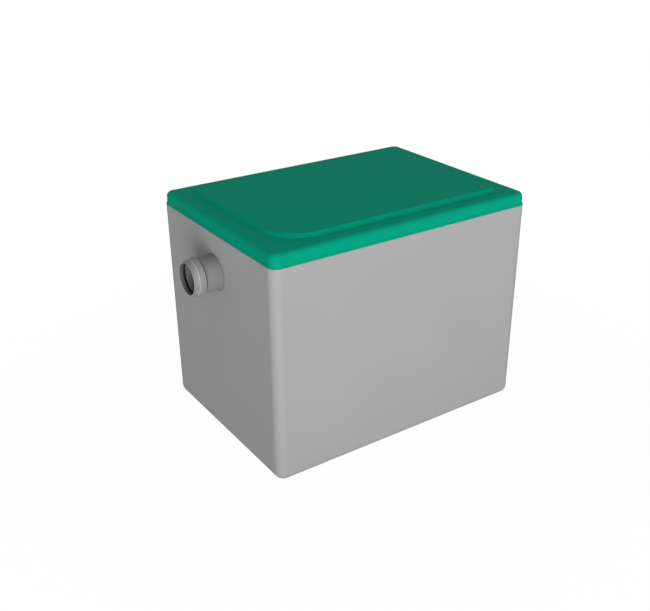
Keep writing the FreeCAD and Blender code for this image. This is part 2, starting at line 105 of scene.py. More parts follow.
def turn(name, description, degrees):
    return bpy.props.FloatProperty(
        name=name, description=description, default=math.radians(degrees), precision=4,
        subtype="ANGLE", unit="ROTATION",
    )


def amount(name, description, default, **more):
    return bpy.props.FloatProperty(
        name=name, description=description, default=default, **{"min": 0, **more},
    )


def place(name, description, x, y, z):
    return bpy.props.FloatVectorProperty(
        name=name, description=description, default=(x, y, z), precision=5, subtype="XYZ",
        unit="LENGTH",
    )


def direction(name, description, x, y, z):
    return bpy.props.FloatVectorProperty(
        name=name, description=description, default=(x, y, z), subtype="XYZ",
    )


def colour(name, description, red, green, blue):
    return bpy.props.FloatVectorProperty(
        name=name, description=description, default=(red, green, blue), size=3, min=0, max=1,
        subtype="COLOR",
    )


class TrapTankSizes(bpy.types.PropertyGroup):
    wall: length("Wall", "Thickness of the tank's walls", 6)
    floor: length("Floor", "Thickness of the tank's floor", 7)
    corner_radius: length("Corner radius", "Upright corners of tank and lid", 16)
    base_radius: length("Base radius", "Edge round the tank's floor", 14)
    rim_edge: length("Rim edge", "Rounding of the rim's outer edge", 0.3)
    groove_width: length("Groove width", "Seal groove in the rim", 3)
    groove_depth: length("Groove depth", "Seal groove in the rim", 2.5)
    hole_radius: length("Hole radius", "Holes in the end walls for the sockets", 28.4)


class TrapLidSizes(bpy.types.PropertyGroup):
    flange: length("Flange", "Thickness of the edge that lies on the rim", 3)
    flange_edge: length("Flange edge", "Small chamfer under the flange", 0.233333)
    side_inset: length("Side inset", "Lid side, in from the flange's edge", 1.75)
    wall: length("Wall", "Thickness of the lid", 4)
    height: length("Height", "Rim to the lid's border", 22)
    edge_radius: length("Edge radius", "Top edge of the lid", 8.7)
    end_border: length("End border", "Lid end to the foot of the panel", 34)
    side_border: length("Side border", "Lid side to the foot of the panel", 31)
    panel_step: length("Step width", "Soft double step up to the panel", 6.6)
    panel_rise: length("Step rise", "Soft double step up to the panel", 6)
    large_radius: length("Large radius", "Two opposite corners of the panel", 68)
    small_radius: length("Small radius", "The other two corners of the panel", 22)
    skirt_inset: length("Skirt inset", "Outside of the tank to the skirt", 9)
    skirt: length("Skirt", "Thickness of the skirt and the ribs", 3)
    rib_height: length("Rib height", "Ribs under the lid", 12)
    rib_count: bpy.props.IntProperty(
        name="Ribs", description="Ribs across the lid", default=3, min=0,
    )


class TrapFittingSizes(bpy.types.PropertyGroup):
    foot: length("Foot", "Fillet between neck and tank", 2.5)
    neck_groove: length("Neck groove", "Depth of the groove behind the cap", 2)
    groove_width: length("Groove width", "Groove in the neck behind the cap", 2.6)
    bore: length("Bore", "Radius of the socket's bore", 25.4)
    stub_bore: length("Stub bore", "Radius of the bore behind the pipe stop", 25.1)
    stop_depth: length("Stop depth", "Pipe stop behind the tank's face", 2)
    bead: length("Bead", "Cap's back edge to its front shoulder", 11.6)
    front_rise: length("Front rise", "Front shoulder of the cap above the neck", 1.4)
    shoulder_ring: length("Shoulder ring", "Small ring round the cap's front shoulder", 0.9)
    lip: length("Lip", "Lip round the mouth, proud of the cap's cone", 1.8)
    lip_wall: length("Lip wall", "Rim of the mouth", 1.2)
    flare: length("Flare", "Mouth, wider than the bore", 0.3)
    seal: length("Seal", "Lip seal along the pipe", 5)
    thread_pitch: length("Thread pitch", "Thread on the stub inside the tank", 2.4)
    thread_depth: length("Thread depth", "Thread on the stub inside the tank", 0.7)
    pipe_wall: length("Pipe wall", "Thickness of pipes and tees", 2.2)
    bell: length("Bell", "Length of the bell that holds an upright pipe", 30)
    bell_wall: length("Bell wall", "Thickness of the bell's shoulder", 3)


class TrapColours(bpy.types.PropertyGroup):
    tank: colour("Tank", "Moulded grey of the tank", 0.405, 0.405, 0.408)
    lid: colour("Lid", "Moulded green of the lid", 0.0015, 0.352, 0.218)
    socket: colour("Sockets", "Moulded grey of sockets and caps", 0.255, 0.255, 0.257)
    pipe: colour("Pipes", "Grey of pipes, tees and nuts", 0.25, 0.255, 0.26)
    baffle: colour("Baffles", "Sheet plastic of the baffles", 0.46, 0.465, 0.47)
    rubber: colour("Rubber", "Seals", 0.03, 0.03, 0.031)
    floor: colour("Floor", "Floor that the trap stands on", 0.45, 0.45, 0.45)


class TrapStage(bpy.types.PropertyGroup):
    key: amount("Key", "Strength of the lamp from the left and front", 1.98)
    key_from: direction("Key from", "Where the key lamp shines from", -0.5, -0.8, -0.2)
    key_angle: turn("Key softness", "Width of the key lamp as seen from the trap", 50)
    front: amount("Front", "Power of the lamp in front", 6.9, unit="POWER")
    front_size: length("Front size", "Width of the lamp in front", 1200)
    front_place: place("Front place", "Where the lamp in front hangs", -0.3, -1.55, 0.98)
    fill: amount("Fill", "Strength of the lamps behind the trap", 0.8)
    fill_outlet: direction("Fill outlet", "Where the first fill shines from", 0.95, 0.25, -0.15)
    fill_back: direction("Fill back", "Where the second fill shines from", 0.25, 0.95, -0.15)
    fill_angle: turn("Fill softness", "Width of the lamps behind as seen from the trap", 40)
    ambient: amount("Ambient", "Light from all round", 0.372)
    floor_radius: length("Floor radius", "Disc that the trap stands on", 1500)
    floor_white: amount(
        "Floor whiteness", "Share of white that the camera sees there", 0.98, max=1,
        subtype="FACTOR",
    )
    fade_start: length("Fade start", "Middle of the floor to where it starts to whiten", 400)
    fade_end: length("Fade end", "Middle of the floor to where it is plain white", 1100)
    camera_place: place("Camera place", "Where the camera stands", -0.82829, -1.18081, 0.86911)
    camera_yaw: turn("Camera yaw", "Turn from straight along the width to the outlet", 34.84175)
    camera_pitch: turn("Camera pitch", "How far the camera looks down", 26.57366)
    camera_lens: amount("Lens", "Focal length", 49.450146, min=1, unit="CAMERA")
    camera_shift: bpy.props.FloatVectorProperty(
        name="Shift", description="Frame's shift, across and up", default=(-0.0252031, 0.0217257),
        size=2,
    )


def outline(bm, half_x, half_y, radii, level):
    """The edges of a level rectangle whose corners have these radii, from the front left one on."""
    corners = bmesh.ops.create_grid(bm, x_segments=1, y_segments=1, size=1)["verts"]
    bmesh.ops.scale(bm, vec=(half_x, half_y, 1), verts=corners)
    bmesh.ops.translate(bm, vec=(0, 0, level), verts=corners)
    found = {(v.co.x > 0, v.co.y > 0): v for v in corners}
    order = ((False, False), (True, False), (True, True), (False, True))
    rounds = []
    for corner, radius in zip(order, radii):
        made = bmesh.ops.bevel(
            bm, geom=[found[corner]], offset=radius, offset_type="OFFSET", segments=CORNER_STEPS,
            profile=0.5, affect="VERTICES", material=-1,
        )
        rounds += made["verts"]
    face = rounds[0].link_faces[0]
    edges = list(face.edges)
    bmesh.ops.delete(bm, geom=[face], context="FACES_ONLY")
    return edges


def even_outline(bm, inset, level, radius):
    """An outline of the tank's own form, this far in."""
    radii = [max(radius - inset, LEAST_RADIUS)] * 4
    return outline(bm, HALF_LENGTH - inset, HALF_WIDTH - inset, radii, level)


def even_outlines(bm, rings, radius):
    return [even_outline(bm, inset, level, radius) for inset, level in rings]


def panel_outline(bm, inset, level, sizes):
    """An outline of the raised panel with its unequal corners, this far in from its foot."""
    radii = [max(r - inset, LEAST_RADIUS) for r in (sizes.large_radius, sizes.small_radius)]
    half_x = HALF_LENGTH - sizes.end_border - inset
    half_y = HALF_WIDTH - sizes.side_border - inset
    return outline(bm, half_x, half_y, radii * 2, level)


def bridge(bm, loops, closed=False):
    """Joins each outline to the next by a ring of faces, and the last to the first if closed.

    The second outline of a pair is lifted while they are joined, so that both run the same way
    round.
    """
    pairs = list(zip(loops, loops[1:]))
    if closed:
        pairs.append((loops[-1], loops[0]))
    for first, second in pairs:
        points = list({point for edge in second for point in edge.verts})
        bmesh.ops.translate(bm, vec=LIFT, verts=points)
        bmesh.ops.bridge_loops(bm, edges=first + second)
        bmesh.ops.translate(bm, vec=-LIFT, verts=points)


def cover(bm, loop):
    """Closes an outline by one face."""
    bmesh.ops.contextual_create(bm, geom=loop)


def quarter(radius):
    """(across, along) of points on a quarter circle, from (0, 0) to (radius, radius)."""
    angles = [math.pi / 2 * i / FILLET_STEPS for i in range(FILLET_STEPS + 1)]
    return [(radius * (1 - math.cos(a)), radius * math.sin(a)) for a in angles]


def box_solid(bm, low, high):
    """Adds a box between two corners."""
    size = Vector(high) - Vector(low)
    middle = Matrix.Translation((Vector(low) + Vector(high)) / 2)
    bmesh.ops.create_cube(bm, size=1, matrix=middle @ Matrix.Diagonal((*size, 1)))


def merge(bm, mesh):
    """Merges doubled points, turns the faces outward and writes the result to the mesh."""
    bmesh.ops.remove_doubles(bm, verts=bm.verts, dist=DOUBLED)
    bmesh.ops.recalc_face_normals(bm, faces=bm.faces)
    bm.to_mesh(mesh)
    bm.free()


def object_of(bm, name):
    """The object made of what was drawn."""
    mesh = bpy.data.meshes.new(name)
    merge(bm, mesh)
    made = bpy.data.objects.new(name, mesh)
    bpy.context.scene.collection.objects.link(made)
    return made


def turned(name, points, centre, axis):
    """A ring: the closed line through the points, turned about the axis through the centre."""
    bm = bmesh.new()
    corners = [bm.verts.new(point) for point in points]
    edges = [bm.edges.new(pair) for pair in zip(corners, corners[1:] + corners[:1])]
    bmesh.ops.spin(
        bm, geom=corners + edges, cent=centre, axis=axis, angle=math.tau, steps=TURN_STEPS,
        use_merge=True, use_duplicate=False,
    )
    return object_of(bm, name)


def cylinder(bm, radius, depth, matrix, segments=TURN_STEPS):
    """Adds a closed cylinder, or a prism when the segments are few."""
    bmesh.ops.create_cone(
        bm, cap_ends=True, cap_tris=False, segments=segments, radius1=radius, radius2=radius,
        depth=depth, matrix=matrix,
    )


def rod(name, start, end, radius):
    """A closed cylinder from start to end."""
    bm = bmesh.new()
    start, end = Vector(start), Vector(end)
    along = end - start
    facing = along.to_track_quat("Z", "Y").to_matrix().to_4x4()
    cylinder(bm, radius, along.length, Matrix.Translation((start + end) / 2) @ facing)
    return object_of(bm, name)


def cut(piece, cutter, operation="DIFFERENCE"):
    """Takes the cutter's space from the piece, or adds it, and removes the cutter."""
    modifier = piece.modifiers.new(operation.lower(), "BOOLEAN")
    modifier.operation = operation
    modifier.solver = "EXACT"
    modifier.object = cutter
    graph = bpy.context.evaluated_depsgraph_get()
    mesh = bpy.data.meshes.new_from_object(piece.evaluated_get(graph))
    piece.modifiers.clear()
    old = piece.data
    piece.data = mesh
    mesh.name = piece.name
    bm = bmesh.new()
    bm.from_mesh(mesh)
    merge(bm, mesh)
    bpy.data.meshes.remove(old)
    spare = cutter.data
    bpy.data.objects.remove(cutter)
    bpy.data.meshes.remove(spare)
    return piece


def dress(piece, body, nodes, look, edge=EDGE):
    """Smooths the piece, rounds its sharp edges, attaches it to the body it rides on and hides the
    imported parts it stands for.
    """
    mesh = piece.data
    mesh.materials.clear()
    mesh.materials.append(finish(look))
    mesh.shade_smooth()
    mesh.set_sharp_from_angle(angle=SHARP)
    if edge:
        bevel = piece.modifiers.new("edges", "BEVEL")
        bevel.width = edge
        bevel.segments = EDGE_SEGMENTS
        bevel.limit_method = "ANGLE"
        bevel.angle_limit = SHARP
        bevel.harden_normals = True
        weld = piece.modifiers.new("merge", "WELD")
        weld.merge_threshold = COLLAPSED
    even = piece.modifiers.new("normals", "WEIGHTED_NORMAL")
    even.keep_sharp = True
    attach(piece, body)
    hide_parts(*nodes)
    return piece


def paint(piece, look, side, radii, reach=None):
    """Gives a finish to the faces between two radii from the pipe's axis; here it paints shade and
    highlights onto the sockets.

    A reach keeps to the faces between two distances out from the tank's face.
    """
    mesh = piece.data
    if mesh.materials.find(look) < 0:
        mesh.materials.append(finish(look))
    index = mesh.materials.find(look)
    height = axis_height(side)
    for face in mesh.polygons:
        across = math.hypot(face.center.y, face.center.z - height)
        out = abs(face.center.x) - HALF_LENGTH
        if radii[0] < across < radii[1] and (reach is None or reach[0] < out < reach[1]):
            face.material_index = index


def axis_height(side):
    """Height of the pipe's axis at one end."""
    low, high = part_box(side + "_socket")
    return (low.z + high.z) / 2


def reach_of(side, piece):
    """How far out from the tank's face a fitting starts and ends, and its radius."""
    low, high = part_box("%s_%s" % (side, piece))
    ends = sorted((abs(low.x) - HALF_LENGTH, abs(high.x) - HALF_LENGTH))
    return ends[0], ends[1], (high.z - low.z) / 2


def neck_radius(side, sizes):
    return reach_of(side, "socket")[2] - sizes.foot


def groove_reach(side, sizes):
    """How far out from the tank's face the neck's groove starts and ends."""
    end = reach_of(side, "socket_cap")[0]
    return end - sizes.groove_width, end


def fitting(side, piece, profile):
    """A ring about the pipe's axis: each point is its distance out from the tank and its radius."""
    height = axis_height(side)
    points = [
        (END_SIGN[side] * (HALF_LENGTH + out), 0, height + radius) for out, radius in profile
    ]
    return turned("%s_%s" % (side, piece), points, (0, 0, height), (1, 0, 0))


def tank_piece(sizes):
    """The tank: one moulding, open at the top, with a seal groove in its rim and two holes."""
    bm = bmesh.new()
    wall = sizes.wall
    inner_base = sizes.base_radius - wall
    groove_start = (wall - sizes.groove_width) / 2
    groove_end = groove_start + sizes.groove_width
    groove_floor = RIM - sizes.groove_depth
    base = [(across, sizes.base_radius - along) for across, along in quarter(sizes.base_radius)]
    rim = [
        (0, RIM - sizes.rim_edge), (sizes.rim_edge, RIM), (groove_start, RIM),
        (groove_start, groove_floor), (groove_end, groove_floor), (groove_end, RIM), (wall, RIM),
    ]
    inside = [
        (wall + across, sizes.floor + inner_base - along) for across, along in quarter(inner_base)
    ]
    loops = even_outlines(bm, base[::-1] + rim + inside, sizes.corner_radius)
    bridge(bm, loops)
    cover(bm, loops[0])
    cover(bm, loops[-1])
    tank = object_of(bm, "tank")
    for side, sign in END_SIGN.items():
        height = axis_height(side)
        outer = (sign * (HALF_LENGTH + wall), 0, height)
        inner = (sign * (HALF_LENGTH - 2 * wall), 0, height)
        cut(tank, rod("hole", outer, inner, sizes.hole_radius))
    return tank


def gasket_piece(tank_sizes):
    """The rubber seal in the rim's groove, with a crowned top."""
    bm = bmesh.new()
    low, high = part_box("rim_gasket")
    outer = HALF_LENGTH - high.x
    inner = tank_sizes.wall - outer
    crown = (inner - outer) / 4
    rings = [
        (outer, low.z), (outer, high.z - crown), (outer + crown, high.z), (inner - crown, high.z),
        (inner, high.z - crown), (inner, low.z),
    ]
    bridge(bm, even_outlines(bm, rings, tank_sizes.corner_radius), closed=True)
    return object_of(bm, "seal_strip")


def lid_levels(sizes):
    """Levels of the lid's border, of its underside, and of the hollow below the panel."""
    top = RIM + sizes.height
    return top, top - sizes.wall, top + sizes.panel_rise - sizes.wall


def step_rings(sizes, top):
    """(inset, level) of the outlines up the soft double step from the border to the panel."""
    steps = 3 * FILLET_STEPS
    rings = []
    for i in range(steps + 1):
        turns = math.tau * i / steps
        bend = STEP_WAVES[0] * math.sin(turns) + STEP_WAVES[1] * math.sin(2 * turns)
        share = (turns - bend) / math.tau
        rings.append((sizes.panel_step * i / steps, top + share * sizes.panel_rise))
    return rings


def lid_cover(sizes, radius):
    """The lid's moulding: flange, rounded edge and raised panel, with a hollow below."""
    bm = bmesh.new()
    top, under, hollow_top = lid_levels(sizes)
    edge = sizes.edge_radius
    outside = [(sizes.flange_edge, RIM), (0, RIM + sizes.flange_edge)]
    for i in range(FILLET_STEPS + 1):
        share = i / FILLET_STEPS
        across = share * share * (3 - 2 * share) * sizes.side_inset
        outside.append((across, RIM + sizes.flange * (FLANGE_START + share)))
    outside += [(sizes.side_inset + across, top - edge + along) for across, along in quarter(edge)]
    inner_edge = edge - sizes.wall / 2
    inner_inset = sizes.side_inset + sizes.wall
    inside = [(inner_inset, RIM)]
    inside += [
        (inner_inset + across, under - inner_edge + along) for across, along in quarter(inner_edge)
    ]
    outer_loops = even_outlines(bm, outside, radius)
    inner_loops = even_outlines(bm, inside, radius)
    outer_loops += [
        panel_outline(bm, inset, level, sizes) for inset, level in step_rings(sizes, top)
    ]
    hollow_inset = sizes.panel_step + sizes.wall
    inner_loops += [panel_outline(bm, hollow_inset, level, sizes) for level in (under, hollow_top)]
    bridge(bm, inner_loops[::-1] + outer_loops)
    cover(bm, inner_loops[-1])
    cover(bm, outer_loops[-1])
    return object_of(bm, "lid_cover")


def lid_skirt(sizes, radius):
    """The skirt under the lid, which runs round inside the rim and ends within the lid's wall."""
    bm = bmesh.new()
    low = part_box("lid")[0].z
    high = lid_levels(sizes)[0] - sizes.wall / 2
    outer = sizes.skirt_inset
    inner = outer + sizes.skirt
    rings = [(outer, low), (outer, high), (inner, high), (inner, low)]
    bridge(bm, even_outlines(bm, rings, radius), closed=True)
    return object_of(bm, "lid_skirt")


def lid_ribs(sizes):
    """The ribs across the lid, each with a higher part in the hollow below the panel."""
    ribs = bmesh.new()
    rib_tops = bmesh.new()
    top, under, hollow_top = lid_levels(sizes)
    low = under - sizes.rib_height
    in_wall = sizes.wall / 2
    half = sizes.skirt / 2
    reach = HALF_WIDTH - sizes.skirt_inset - half
    top_reach = HALF_WIDTH - sizes.side_border - sizes.panel_step - in_wall
    for i in range(sizes.rib_count):
        middle = HALF_LENGTH * (2 * (i + 1) / (sizes.rib_count + 1) - 1)
        near, far = middle - half, middle + half
        box_solid(ribs, (near, -reach, low), (far, reach, top - in_wall))
        box_solid(
            rib_tops, (near, -top_reach, low + half), (far, top_reach, hollow_top + in_wall),
        )
    return cut(object_of(ribs, "lid_ribs"), object_of(rib_tops, "rib_tops"), "UNION")


def socket_piece(side, sizes):
    """Neck with a fillet at the wall, and inside the tank a threaded stub with the pipe stop."""
    stub_end, neck_end, widest = reach_of(side, "socket")
    nut_reach = reach_of(side, "back_nut")[0]
    neck = neck_radius(side, sizes)
    root = neck - sizes.thread_depth
    pitch = sizes.thread_pitch
    profile = [(stub_end, sizes.stub_bore), (stub_end, root)]
    for i in range(int((nut_reach - stub_end) / pitch)):
        start = stub_end + i * pitch
        profile += [(start + pitch * share, neck if crest else root) for share, crest in THREAD]
    profile += [(nut_reach, neck), (0, neck)]
    profile += [(across, widest - along) for across, along in quarter(sizes.foot)]
    groove_start, groove_end = groove_reach(side, sizes)
    groove_floor = neck - sizes.neck_groove
    profile += [
        (groove_start, neck), (groove_start + sizes.neck_groove / 2, groove_floor),
        (groove_end, groove_floor), (groove_end, neck), (neck_end, neck), (neck_end, sizes.bore),
        (-sizes.stop_depth, sizes.bore), (-sizes.stop_depth, sizes.stub_bore),
    ]
    return fitting(side, "neck", profile)


def cap_piece(side, sizes):
    """The cap that holds the seal: a bead, a cone and a lip round the mouth."""
    back, mouth, widest = reach_of(side, "socket_cap")
    seal_end = reach_of(side, "socket")[1] + sizes.seal
    neck = neck_radius(side, sizes)
    inner = sizes.bore + sizes.flare
    lip = inner + sizes.lip_wall
    lip_start = mouth - sizes.lip
    shoulder = back + sizes.bead
    front = neck + sizes.front_rise
    ring = sizes.shoulder_ring
    return fitting(side, "cap", [
        (back, neck + PLAY), (back, widest - ring), (back + ring / 2, widest),
        (shoulder - 2 * ring, front + ring / 2), (shoulder - ring, front + ring / 2),
        (shoulder, front), (lip_start, lip + sizes.lip_wall), (lip_start, lip), (mouth, lip),
        (mouth, inner), (seal_end, inner), (seal_end, neck + PLAY),
    ])


def seal_piece(side, sizes):
    """The rubber lip that grips the pipe, seen in the mouth."""
    back, front, widest = reach_of(side, "lip_seal")
    tip = sizes.bore + PLAY
    heel = (back + front) / 2
    return fitting(side, "seal", [
        (back, widest), (front, widest), (front, tip), (front - sizes.flare, tip),
        (heel, widest - MM),
    ])


def nut_piece(side, sizes):
    """The six-sided nut behind the wall."""
    low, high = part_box(side + "_back_nut")
    bm = bmesh.new()
    facing = Matrix.Rotation(math.pi / 2, 4, "Y") @ Matrix.Rotation(math.pi / 2, 4, "Z")
    middle = Matrix.Translation((low + high) / 2)
    cylinder(bm, (high.y - low.y) / 2, high.x - low.x, middle @ facing, segments=6)
    nut = object_of(bm, side + "_nut")
    height = axis_height(side)
    start, end = (low.x - MM, 0, height), (high.x + MM, 0, height)
    return cut(nut, rod("bore", start, end, neck_radius(side, sizes) + PLAY))


def tee_piece(side, sizes):
    """The tee behind the wall: a branch into the socket, an open head and a bell below."""
    low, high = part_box(side + "_tee")
    pipe_low, pipe_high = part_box(side + "_upright_pipe")
    axis = (pipe_low.x + pipe_high.x) / 2
    outer = (pipe_high.x - pipe_low.x) / 2
    inner = outer - sizes.pipe_wall
    spigot = END_SIGN[side] * (HALF_LENGTH - sizes.stop_depth)
    bell_top = low.z + sizes.bell
    past = 5 * MM
    over = spigot + END_SIGN[side] * past
    height = axis_height(side)
    centre = (axis, 0, height)

    def upright(name, start, end, radius):
        return rod(name, (axis, 0, start), (axis, 0, end), radius)

    bell_radius = (high.y - low.y) / 2
    tee = upright(side + "_tee_fitting", low.z, bell_top + sizes.bell_wall, bell_radius)
    cut(tee, upright("run", bell_top, high.z, outer), "UNION")
    cut(tee, rod("branch", (spigot, 0, height), centre, outer), "UNION")
    cut(tee, upright("run_bore", bell_top - past, high.z + past, inner))
    cut(tee, upright("bell_bore", low.z - past, bell_top, outer + PLAY))
    return cut(tee, rod("branch_bore", (over, 0, height), centre, inner))


def pipe_piece(side, sizes):
    """The upright pipe, with its foot chamfered."""
    low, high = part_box(side + "_upright_pipe")
    axis = (low.x + high.x) / 2
    outer = (high.x - low.x) / 2
    inner = outer - sizes.pipe_wall
    chamfer = sizes.pipe_wall / 2
    profile = [
        (inner, low.z), (outer - chamfer, low.z), (outer, low.z + 2 * chamfer), (outer, high.z),
        (inner, high.z),
    ]
    points = [(axis + radius, 0, level) for radius, level in profile]
    return turned(side + "_pipe", points, (axis, 0, 0), (0, 0, 1))


def paint_neck(neck, side, sizes):
    """Paints shade into the bore, into the groove behind the cap and onto the foot at the wall."""
    bore = sizes.bore + sizes.flare + 2 * MARGIN
    groove = [end + MARGIN for end in groove_reach(side, sizes)]
    cap_radius = reach_of(side, "socket_cap")[2]
    foot_radius = reach_of(side, "socket")[2]
    foot = (foot_radius - FOOT_SHARE * sizes.foot, foot_radius)
    # Painted shade in the bore and on the foot, and deeper painted shade in the groove
    paint(neck, "socket_dim", side, (0, bore))
    paint(neck, "socket_shade", side, (0, cap_radius), groove)
    paint(neck, "socket_dim", side, foot, (0, sizes.foot))


def paint_cap(cap, side, sizes):
    """Paints shade into the cap's inside, and a painted highlight on the ring round its shoulder
    and on its mouth's rim.
    """
    bore = sizes.bore + sizes.flare + 2 * MARGIN
    back, mouth, widest = reach_of(side, "socket_cap")
    shoulder = back + sizes.bead
    ring = (shoulder - 2 * sizes.shoulder_ring, shoulder)
    # Painted shade inside the cap, and painted highlights on its shoulder ring and mouth rim
    paint(cap, "socket_shade", side, (0, bore))
    paint(cap, "socket_edge", side, (bore, widest), ring)
    paint(cap, "socket_edge", side, (bore, widest), (mouth - MARGIN, mouth + MARGIN))


def add_node(tree, kind, **settings):
    """A new node with these settings. A setting in capitals is an input, with _ for a space."""
    made = tree.nodes.new(kind)
    for name, value in settings.items():
        if name[0].isupper():
            made.inputs[name.replace("_", " ")].default_value = value
        else:
            setattr(made, name, value)
    return made


def moulded_grain():
    """A node group: fine grain and slow waves of a moulded surface, and its faint mottling."""
    group = bpy.data.node_groups.new("moulded_grain", "ShaderNodeTree")
    sockets = (
        ("Vector", "INPUT", "Vector"), ("Grain Scale", "INPUT", "Float"),
        ("Wave Scale", "INPUT", "Float"), ("Mottle", "OUTPUT", "Float"),
        ("Height", "OUTPUT", "Float"),
    )
    for name, way, kind in sockets:
        group.interface.new_socket(name=name, in_out=way, socket_type="NodeSocket" + kind)
    link = group.links.new
    source = add_node(group, "NodeGroupInput")
    target = add_node(group, "NodeGroupOutput")
    grain = add_node(group, "ShaderNodeTexNoise", Detail=2)
    wave = add_node(group, "ShaderNodeTexNoise", Detail=1)
    mottle = add_node(group, "ShaderNodeTexNoise", Scale=9, Detail=5)
    height = add_node(group, "ShaderNodeMath", operation="MULTIPLY_ADD")
    grain_share = height.inputs[1]
    grain_share.default_value = 0.12
    link(source.outputs["Vector"], grain.inputs["Vector"])
    link(source.outputs["Vector"], wave.inputs["Vector"])
    link(source.outputs["Vector"], mottle.inputs["Vector"])
    link(source.outputs["Grain Scale"], grain.inputs["Scale"])
    link(source.outputs["Wave Scale"], wave.inputs["Scale"])
    link(grain.outputs["Fac"], height.inputs[0])
    link(wave.outputs["Fac"], height.inputs[2])
    link(mottle.outputs["Fac"], target.inputs["Mottle"])
    link(height.outputs["Value"], target.inputs["Height"])
    return group


def new_material(name):
    """A new material with nodes, and its node tree and shader."""
    material = bpy.data.materials.new(name)
    material.use_nodes = True
    return material, material.node_tree, material.node_tree.nodes["Principled BSDF"]


def plastic(
    name, base, roughness, grain_scale=1400, wave_scale=60, depth=0.05, spread=0.03, gloss=0.12,
    rough_spread=0.04,
):
    """A moulded plastic: its colour varies by the spread, and its surface by the depth."""
    material, tree, shader = new_material(name)
    link = tree.links.new
    shader.inputs["Specular IOR Level"].default_value = gloss
    where = add_node(tree, "ShaderNodeTexCoord")
    grain = add_node(
        tree, "ShaderNodeGroup",
        node_tree=bpy.data.node_groups.get("moulded_grain") or moulded_grain(),
        Grain_Scale=grain_scale, Wave_Scale=wave_scale,
    )
    tint = add_node(tree, "ShaderNodeMix", data_type="RGBA")
    dark, light, tinted = tint.inputs[6], tint.inputs[7], tint.outputs[2]
    dark.default_value = (*[part * (1 - spread) for part in base], 1)
    light.default_value = (*[part * (1 + spread) for part in base], 1)
    rough = add_node(
        tree, "ShaderNodeMapRange", To_Min=roughness - rough_spread,
        To_Max=roughness + rough_spread,
    )
    bump = add_node(tree, "ShaderNodeBump", Strength=depth, Distance=MM)
    link(where.outputs["Object"], grain.inputs["Vector"])
    link(grain.outputs["Mottle"], tint.inputs[0])
    link(grain.outputs["Mottle"], rough.inputs["Value"])
    link(grain.outputs["Height"], bump.inputs["Height"])
    link(tinted, shader.inputs["Base Color"])
    link(rough.outputs["Result"], shader.inputs["Roughness"])
    link(bump.outputs["Normal"], shader.inputs["Normal"])
    return material


# Each finish: its colour, how much of that colour, its roughness, and what else sets it apart
FINISHES = {
    "moulded_grey": ("tank", 1, 0.5, {}),
    "moulded_green": ("lid", 1, 0.5, {"spread": 0.02, "gloss": 0.015}),
    "socket_grey": ("socket", 1, 0.45, {}),
    "socket_cap": ("socket", 1.1, 0.4, {"gloss": 0.3}),
    # Painted shade, for the bore and the foot of the neck
    "socket_dim": ("socket", 0.8, 0.5, {}),
    # Deeper painted shade, for the groove behind the cap and the cap's inside
    "socket_shade": ("socket", 0.5, 0.5, {}),
    # Painted highlight on the cap's shoulder ring and its mouth's rim
    "socket_edge": ("socket", 1.7, 0.4, {}),
    "pipe_grey": ("pipe", 1, 0.32, {"wave_scale": 30}),
    "sheet_plastic": ("baffle", 1, 0.4, {"wave_scale": 25}),
    "rubber": ("rubber", 1, 0.6, {"spread": 0.2, "depth": 0.15}),
}


def finish(name):
    """The material of one finish, made when it is first asked for."""
    made = bpy.data.materials.get(name)
    if made:
        return made
    source, share, roughness, more = FINISHES[name]
    base = [part * share for part in getattr(bpy.context.scene.trap_colours, source)]
    return plastic(name, base, roughness, **more)


class TRAP_OT_tank(bpy.types.Operator):
    """Builds the tank and the seal in its rim"""

    bl_idname = "trap.tank"
    bl_label = "Tank"

    def execute(self, context):
        sizes = context.scene.trap_tank
        dress(tank_piece(sizes), "tank", ["tank_shell"], "moulded_grey")
        dress(gasket_piece(sizes), "tank", ["rim_gasket"], "rubber", edge=0)
        return {"FINISHED"}


class TRAP_OT_lid(bpy.types.Operator):
    """Builds the lid with its skirt and ribs"""

    bl_idname = "trap.lid"
    bl_label = "Lid"

    def execute(self, context):
        sizes = context.scene.trap_lid
        radius = context.scene.trap_tank.corner_radius
        for piece in (lid_cover(sizes, radius), lid_skirt(sizes, radius), lid_ribs(sizes)):
            dress(piece, "lid", ["lid"], "moulded_green")
        return {"FINISHED"}


class TRAP_OT_sockets(bpy.types.Operator):
    """Builds the sockets, their caps, seals and nuts"""

    bl_idname = "trap.sockets"
    bl_label = "Sockets"

    def execute(self, context):
        sizes = context.scene.trap_fittings
        for side in END_SIGN:
            neck = socket_piece(side, sizes)
            dress(neck, "tank", [side + "_socket"], "socket_grey")
            paint_neck(neck, side, sizes)
            cap = cap_piece(side, sizes)
            dress(cap, "tank", [side + "_socket_cap"], "socket_cap")
            paint_cap(cap, side, sizes)
            seal = seal_piece(side, sizes)
            dress(seal, "tank", [side + "_lip_seal"], "rubber")
            nut = nut_piece(side, sizes)
            dress(nut, "tank", [side + "_back_nut"], "pipe_grey", edge=NUT_EDGE)
        return {"FINISHED"}


class TRAP_OT_pipes(bpy.types.Operator):
    """Builds the tees and upright pipes inside the tank"""

    bl_idname = "trap.pipes"
    bl_label = "Tees and pipes"

    def execute(self, context):
        sizes = context.scene.trap_fittings
        for side in END_SIGN:
            tee = tee_piece(side, sizes)
            dress(tee, "tank", [side + "_tee"], "pipe_grey")
            pipe = pipe_piece(side, sizes)
            dress(pipe, "tank", [side + "_upright_pipe"], "pipe_grey")
        return {"FINISHED"}


class TRAP_OT_baffles(bpy.types.Operator):
    """Gives the baffles and their rails their finish"""

    bl_idname = "trap.baffles"
    bl_label = "Baffles"

    def execute(self, context):
        for name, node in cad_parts.items():
            if "baffle" in name:
                node.data.materials.clear()
                node.data.materials.append(finish("sheet_plastic"))
        return {"FINISHED"}


